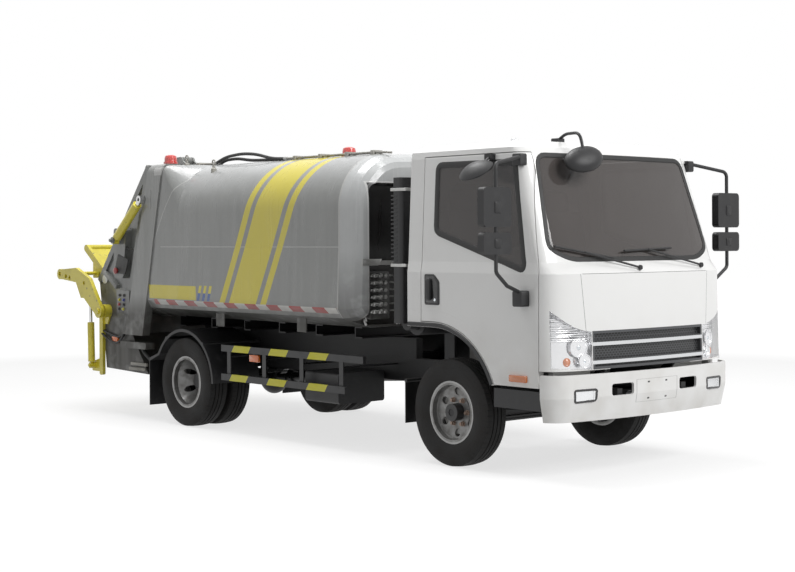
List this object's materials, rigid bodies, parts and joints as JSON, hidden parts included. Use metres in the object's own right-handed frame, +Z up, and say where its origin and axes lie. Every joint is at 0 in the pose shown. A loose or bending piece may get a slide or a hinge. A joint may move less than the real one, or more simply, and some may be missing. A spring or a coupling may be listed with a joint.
{
  "type": "garbage truck",
  "caption": "Rear-loading garbage truck: tilting cab over its engine, rounded container with an ejector plate, and a lifting tail with hopper, packing blade and bin lifter.",
  "frame": {"origin": "on the ground under the middle of the vehicle's length and width, on its own centre plane, tyres standing on z = 0", "axes": "+X forward, +Y to the vehicle's left, +Z up"},
  "size_m": [6.5679, 2.738, 2.3846],
  "materials": {
    "chassis_black": "satin chassis paint, dusty",
    "engine_grey": "painted casting",
    "guard_paint": "painted section",
    "black_plastic": "moulded, matt",
    "cab_white": "gloss enamel",
    "lamp_lens": "clear lens over a bright reflector",
    "body_grey": "semi-gloss enamel",
    "cap_grey": "semi-gloss enamel",
    "red_lens": "clear red lens",
    "tinted_glass": "tinted safety glass",
    "grille_black": "black mesh with bright bars",
    "seat_fabric": "woven",
    "dash_plastic": "moulded grain",
    "wheel_paint": "silver paint",
    "tyre_rubber": "matt rubber",
    "tail_grey": "semi-gloss enamel",
    "lift_yellow": "semi-gloss enamel",
    "rod_chrome": "ground and plated"
  },
  "bodies": {
    "root": {"ladder_frame": "chassis_black", "engine_block": "engine_grey", "propeller_shaft": "chassis_black", "rear_axle": "chassis_black", "front_axle_beam": "chassis_black", "leaf_springs_front": "chassis_black", "leaf_springs_rear": "chassis_black", "side_guards": "guard_paint", "rear_mudguards": "black_plastic", "step_panels": "black_plastic", "front_bumper": "cab_white", "fog_lamps": "lamp_lens", "frame_brackets": "chassis_black", "fuel_tank": "chassis_black", "battery_box": "black_plastic", "air_intake": "black_plastic", "subframe": "chassis_black", "body_barrel": "body_grey", "body_rear_frame": "body_grey", "body_front_cap": "cap_grey", "roof_beacons": "red_lens"},
    "cab": {"cab_shell": "cab_white", "cab_glass": "tinted_glass", "headlamps": "lamp_lens", "grille": "grille_black", "cab_seats": "seat_fabric", "dashboard": "dash_plastic", "steering_wheel": "dash_plastic", "front_mirror": "black_plastic", "wipers": "black_plastic"},
    "door_right": {"door_right": "cab_white", "door_glass_right": "tinted_glass"},
    "door_left": {"door_left": "cab_white", "door_glass_left": "tinted_glass"},
    "steer_right": {"knuckle_right": "chassis_black"},
    "steer_left": {"knuckle_left": "chassis_black"},
    "track_rod": {"track_rod": "chassis_black"},
    "wheel_front_right": {"wheel_front_right": "wheel_paint", "tyre_front_right": "tyre_rubber"},
    "wheel_front_left": {"wheel_front_left": "wheel_paint", "tyre_front_left": "tyre_rubber"},
    "wheels_rear_right": {"wheels_rear_right": "wheel_paint", "tyres_rear_right": "tyre_rubber"},
    "wheels_rear_left": {"wheels_rear_left": "wheel_paint", "tyres_rear_left": "tyre_rubber"},
    "ejector": {"ejector": "body_grey"},
    "tail": {"tail_side_right": "tail_grey", "tail_side_left": "tail_grey", "hopper": "tail_grey", "tail_hood": "tail_grey", "lift_posts": "lift_yellow"},
    "tail_cylinders": {"tail_cylinders": "lift_yellow"},
    "tail_rods": {"tail_rods": "rod_chrome"},
    "packer_slide": {"packer_slide": "tail_grey"},
    "sweep_blade": {"sweep_blade": "tail_grey"},
    "lift_arms": {"lift_arms": "lift_yellow"},
    "lift_cylinders": {"lift_cylinders": "lift_yellow"},
    "lift_rods": {"lift_rods": "rod_chrome"},
    "bin_frame": {"bin_frame": "lift_yellow"}
  },
  "joints": [
    {"name": "cab_tilt", "type": "hinge", "parent": "root", "child": "cab", "pos_m": [3.128, 0, 0.76], "axis": [0, 1, 0], "range_deg": [0, 45]},
    {"name": "door_right_hinge", "type": "hinge", "parent": "cab", "child": "door_right", "pos_m": [3.041, -0.943, 1.4], "axis": [0, 0, 1], "range_deg": [0, 68]},
    {"name": "door_left_hinge", "type": "hinge", "parent": "cab", "child": "door_left", "pos_m": [3.041, 0.943, 1.4], "axis": [0, 0, -1], "range_deg": [0, 68]},
    {"name": "steering", "type": "hinge", "parent": "root", "child": "steer_right", "pos_m": [2.128, -0.68, 0.387], "axis": [0, 0, 1], "range_deg": [-35, 35]},
    {"name": "steering_left", "type": "hinge", "parent": "root", "child": "steer_left", "pos_m": [2.128, 0.68, 0.387], "axis": [0, 0, 1], "range_deg": [-35, 35]},
    {"name": "track_rod_slide", "type": "slide", "parent": "root", "child": "track_rod", "axis": [0, 1, 0], "range_m": [-0.1, 0.1]},
    {"name": "wheel_front_right_spin", "type": "hinge", "parent": "steer_right", "child": "wheel_front_right", "pos_m": [2.128, -0.796, 0.387], "axis": [0, 1, 0], "continuous": true},
    {"name": "wheel_front_left_spin", "type": "hinge", "parent": "steer_left", "child": "wheel_front_left", "pos_m": [2.128, 0.796, 0.387], "axis": [0, 1, 0], "continuous": true},
    {"name": "wheels_rear_right_spin", "type": "hinge", "parent": "root", "child": "wheels_rear_right", "pos_m": [-1.172, -0.75, 0.387], "axis": [0, 1, 0], "continuous": true},
    {"name": "wheels_rear_left_spin", "type": "hinge", "parent": "root", "child": "wheels_rear_left", "pos_m": [-1.172, 0.75, 0.387], "axis": [0, 1, 0], "continuous": true},
    {"name": "ejector_slide", "type": "slide", "parent": "root", "child": "ejector", "axis": [-1, 0, 0], "range_m": [0, 2]},
    {"name": "tail_lift", "type": "hinge", "parent": "root", "child": "tail", "pos_m": [-1.652, 0, 2.346], "axis": [0, 1, 0], "range_deg": [0, 72]},
    {"name": "tail_cylinder_pivot", "type": "hinge", "parent": "tail", "child": "tail_cylinders", "pos_m": [-2.188, 0, 1.626], "axis": [0, 1, 0], "range_deg": [-2, 20]},
    {"name": "tail_rod_slide", "type": "slide", "parent": "tail_cylinders", "child": "tail_rods", "axis": [0.7676, 0, 0.6409], "range_m": [-0.01, 0.44]},
    {"name": "packer_slide_run", "type": "slide", "parent": "tail", "child": "packer_slide", "axis": [-0.64, 0, -0.7684], "range_m": [0, 0.25]},
    {"name": "sweep_blade_pivot", "type": "hinge", "parent": "packer_slide", "child": "sweep_blade", "pos_m": [-2.13993, 0, 1.50211], "axis": [0, 1, 0], "range_deg": [-72, 18]},
    {"name": "lift_arm_pivot", "type": "hinge", "parent": "tail", "child": "lift_arms", "pos_m": [-2.512, 0, 0.964], "axis": [0, 1, 0], "range_deg": [-34, 45]},
    {"name": "lift_cylinder_pivot", "type": "hinge", "parent": "tail", "child": "lift_cylinders", "pos_m": [-2.749, 0, 0.443], "axis": [0, 1, 0], "range_deg": [-14, 16]},
    {"name": "lift_rod_slide", "type": "slide", "parent": "lift_cylinders", "child": "lift_rods", "axis": [-0.0332, 0, 0.9994], "range_m": [-0.16, 0.2]},
    {"name": "bin_frame_pivot", "type": "hinge", "parent": "lift_arms", "child": "bin_frame", "pos_m": [-2.922, 0, 1.31], "axis": [0, 1, 0], "range_deg": [-10, 12]}
  ],
  "couplings": [
    {"joint": "steering_left", "follows": "steering", "ratio": 1},
    {"joint": "track_rod_slide", "follows": "steering", "m_per_rad": -0.16},
    {"joint": "tail_cylinder_pivot", "follows": "tail_lift", "ratio": 0.1858},
    {"joint": "tail_rod_slide", "follows": "tail_lift", "m_per_rad": 0.323},
    {"joint": "lift_cylinder_pivot", "follows": "lift_arm_pivot", "ratio": 0.2825},
    {"joint": "lift_rod_slide", "follows": "lift_arm_pivot", "m_per_rad": 0.2305}
  ]
}
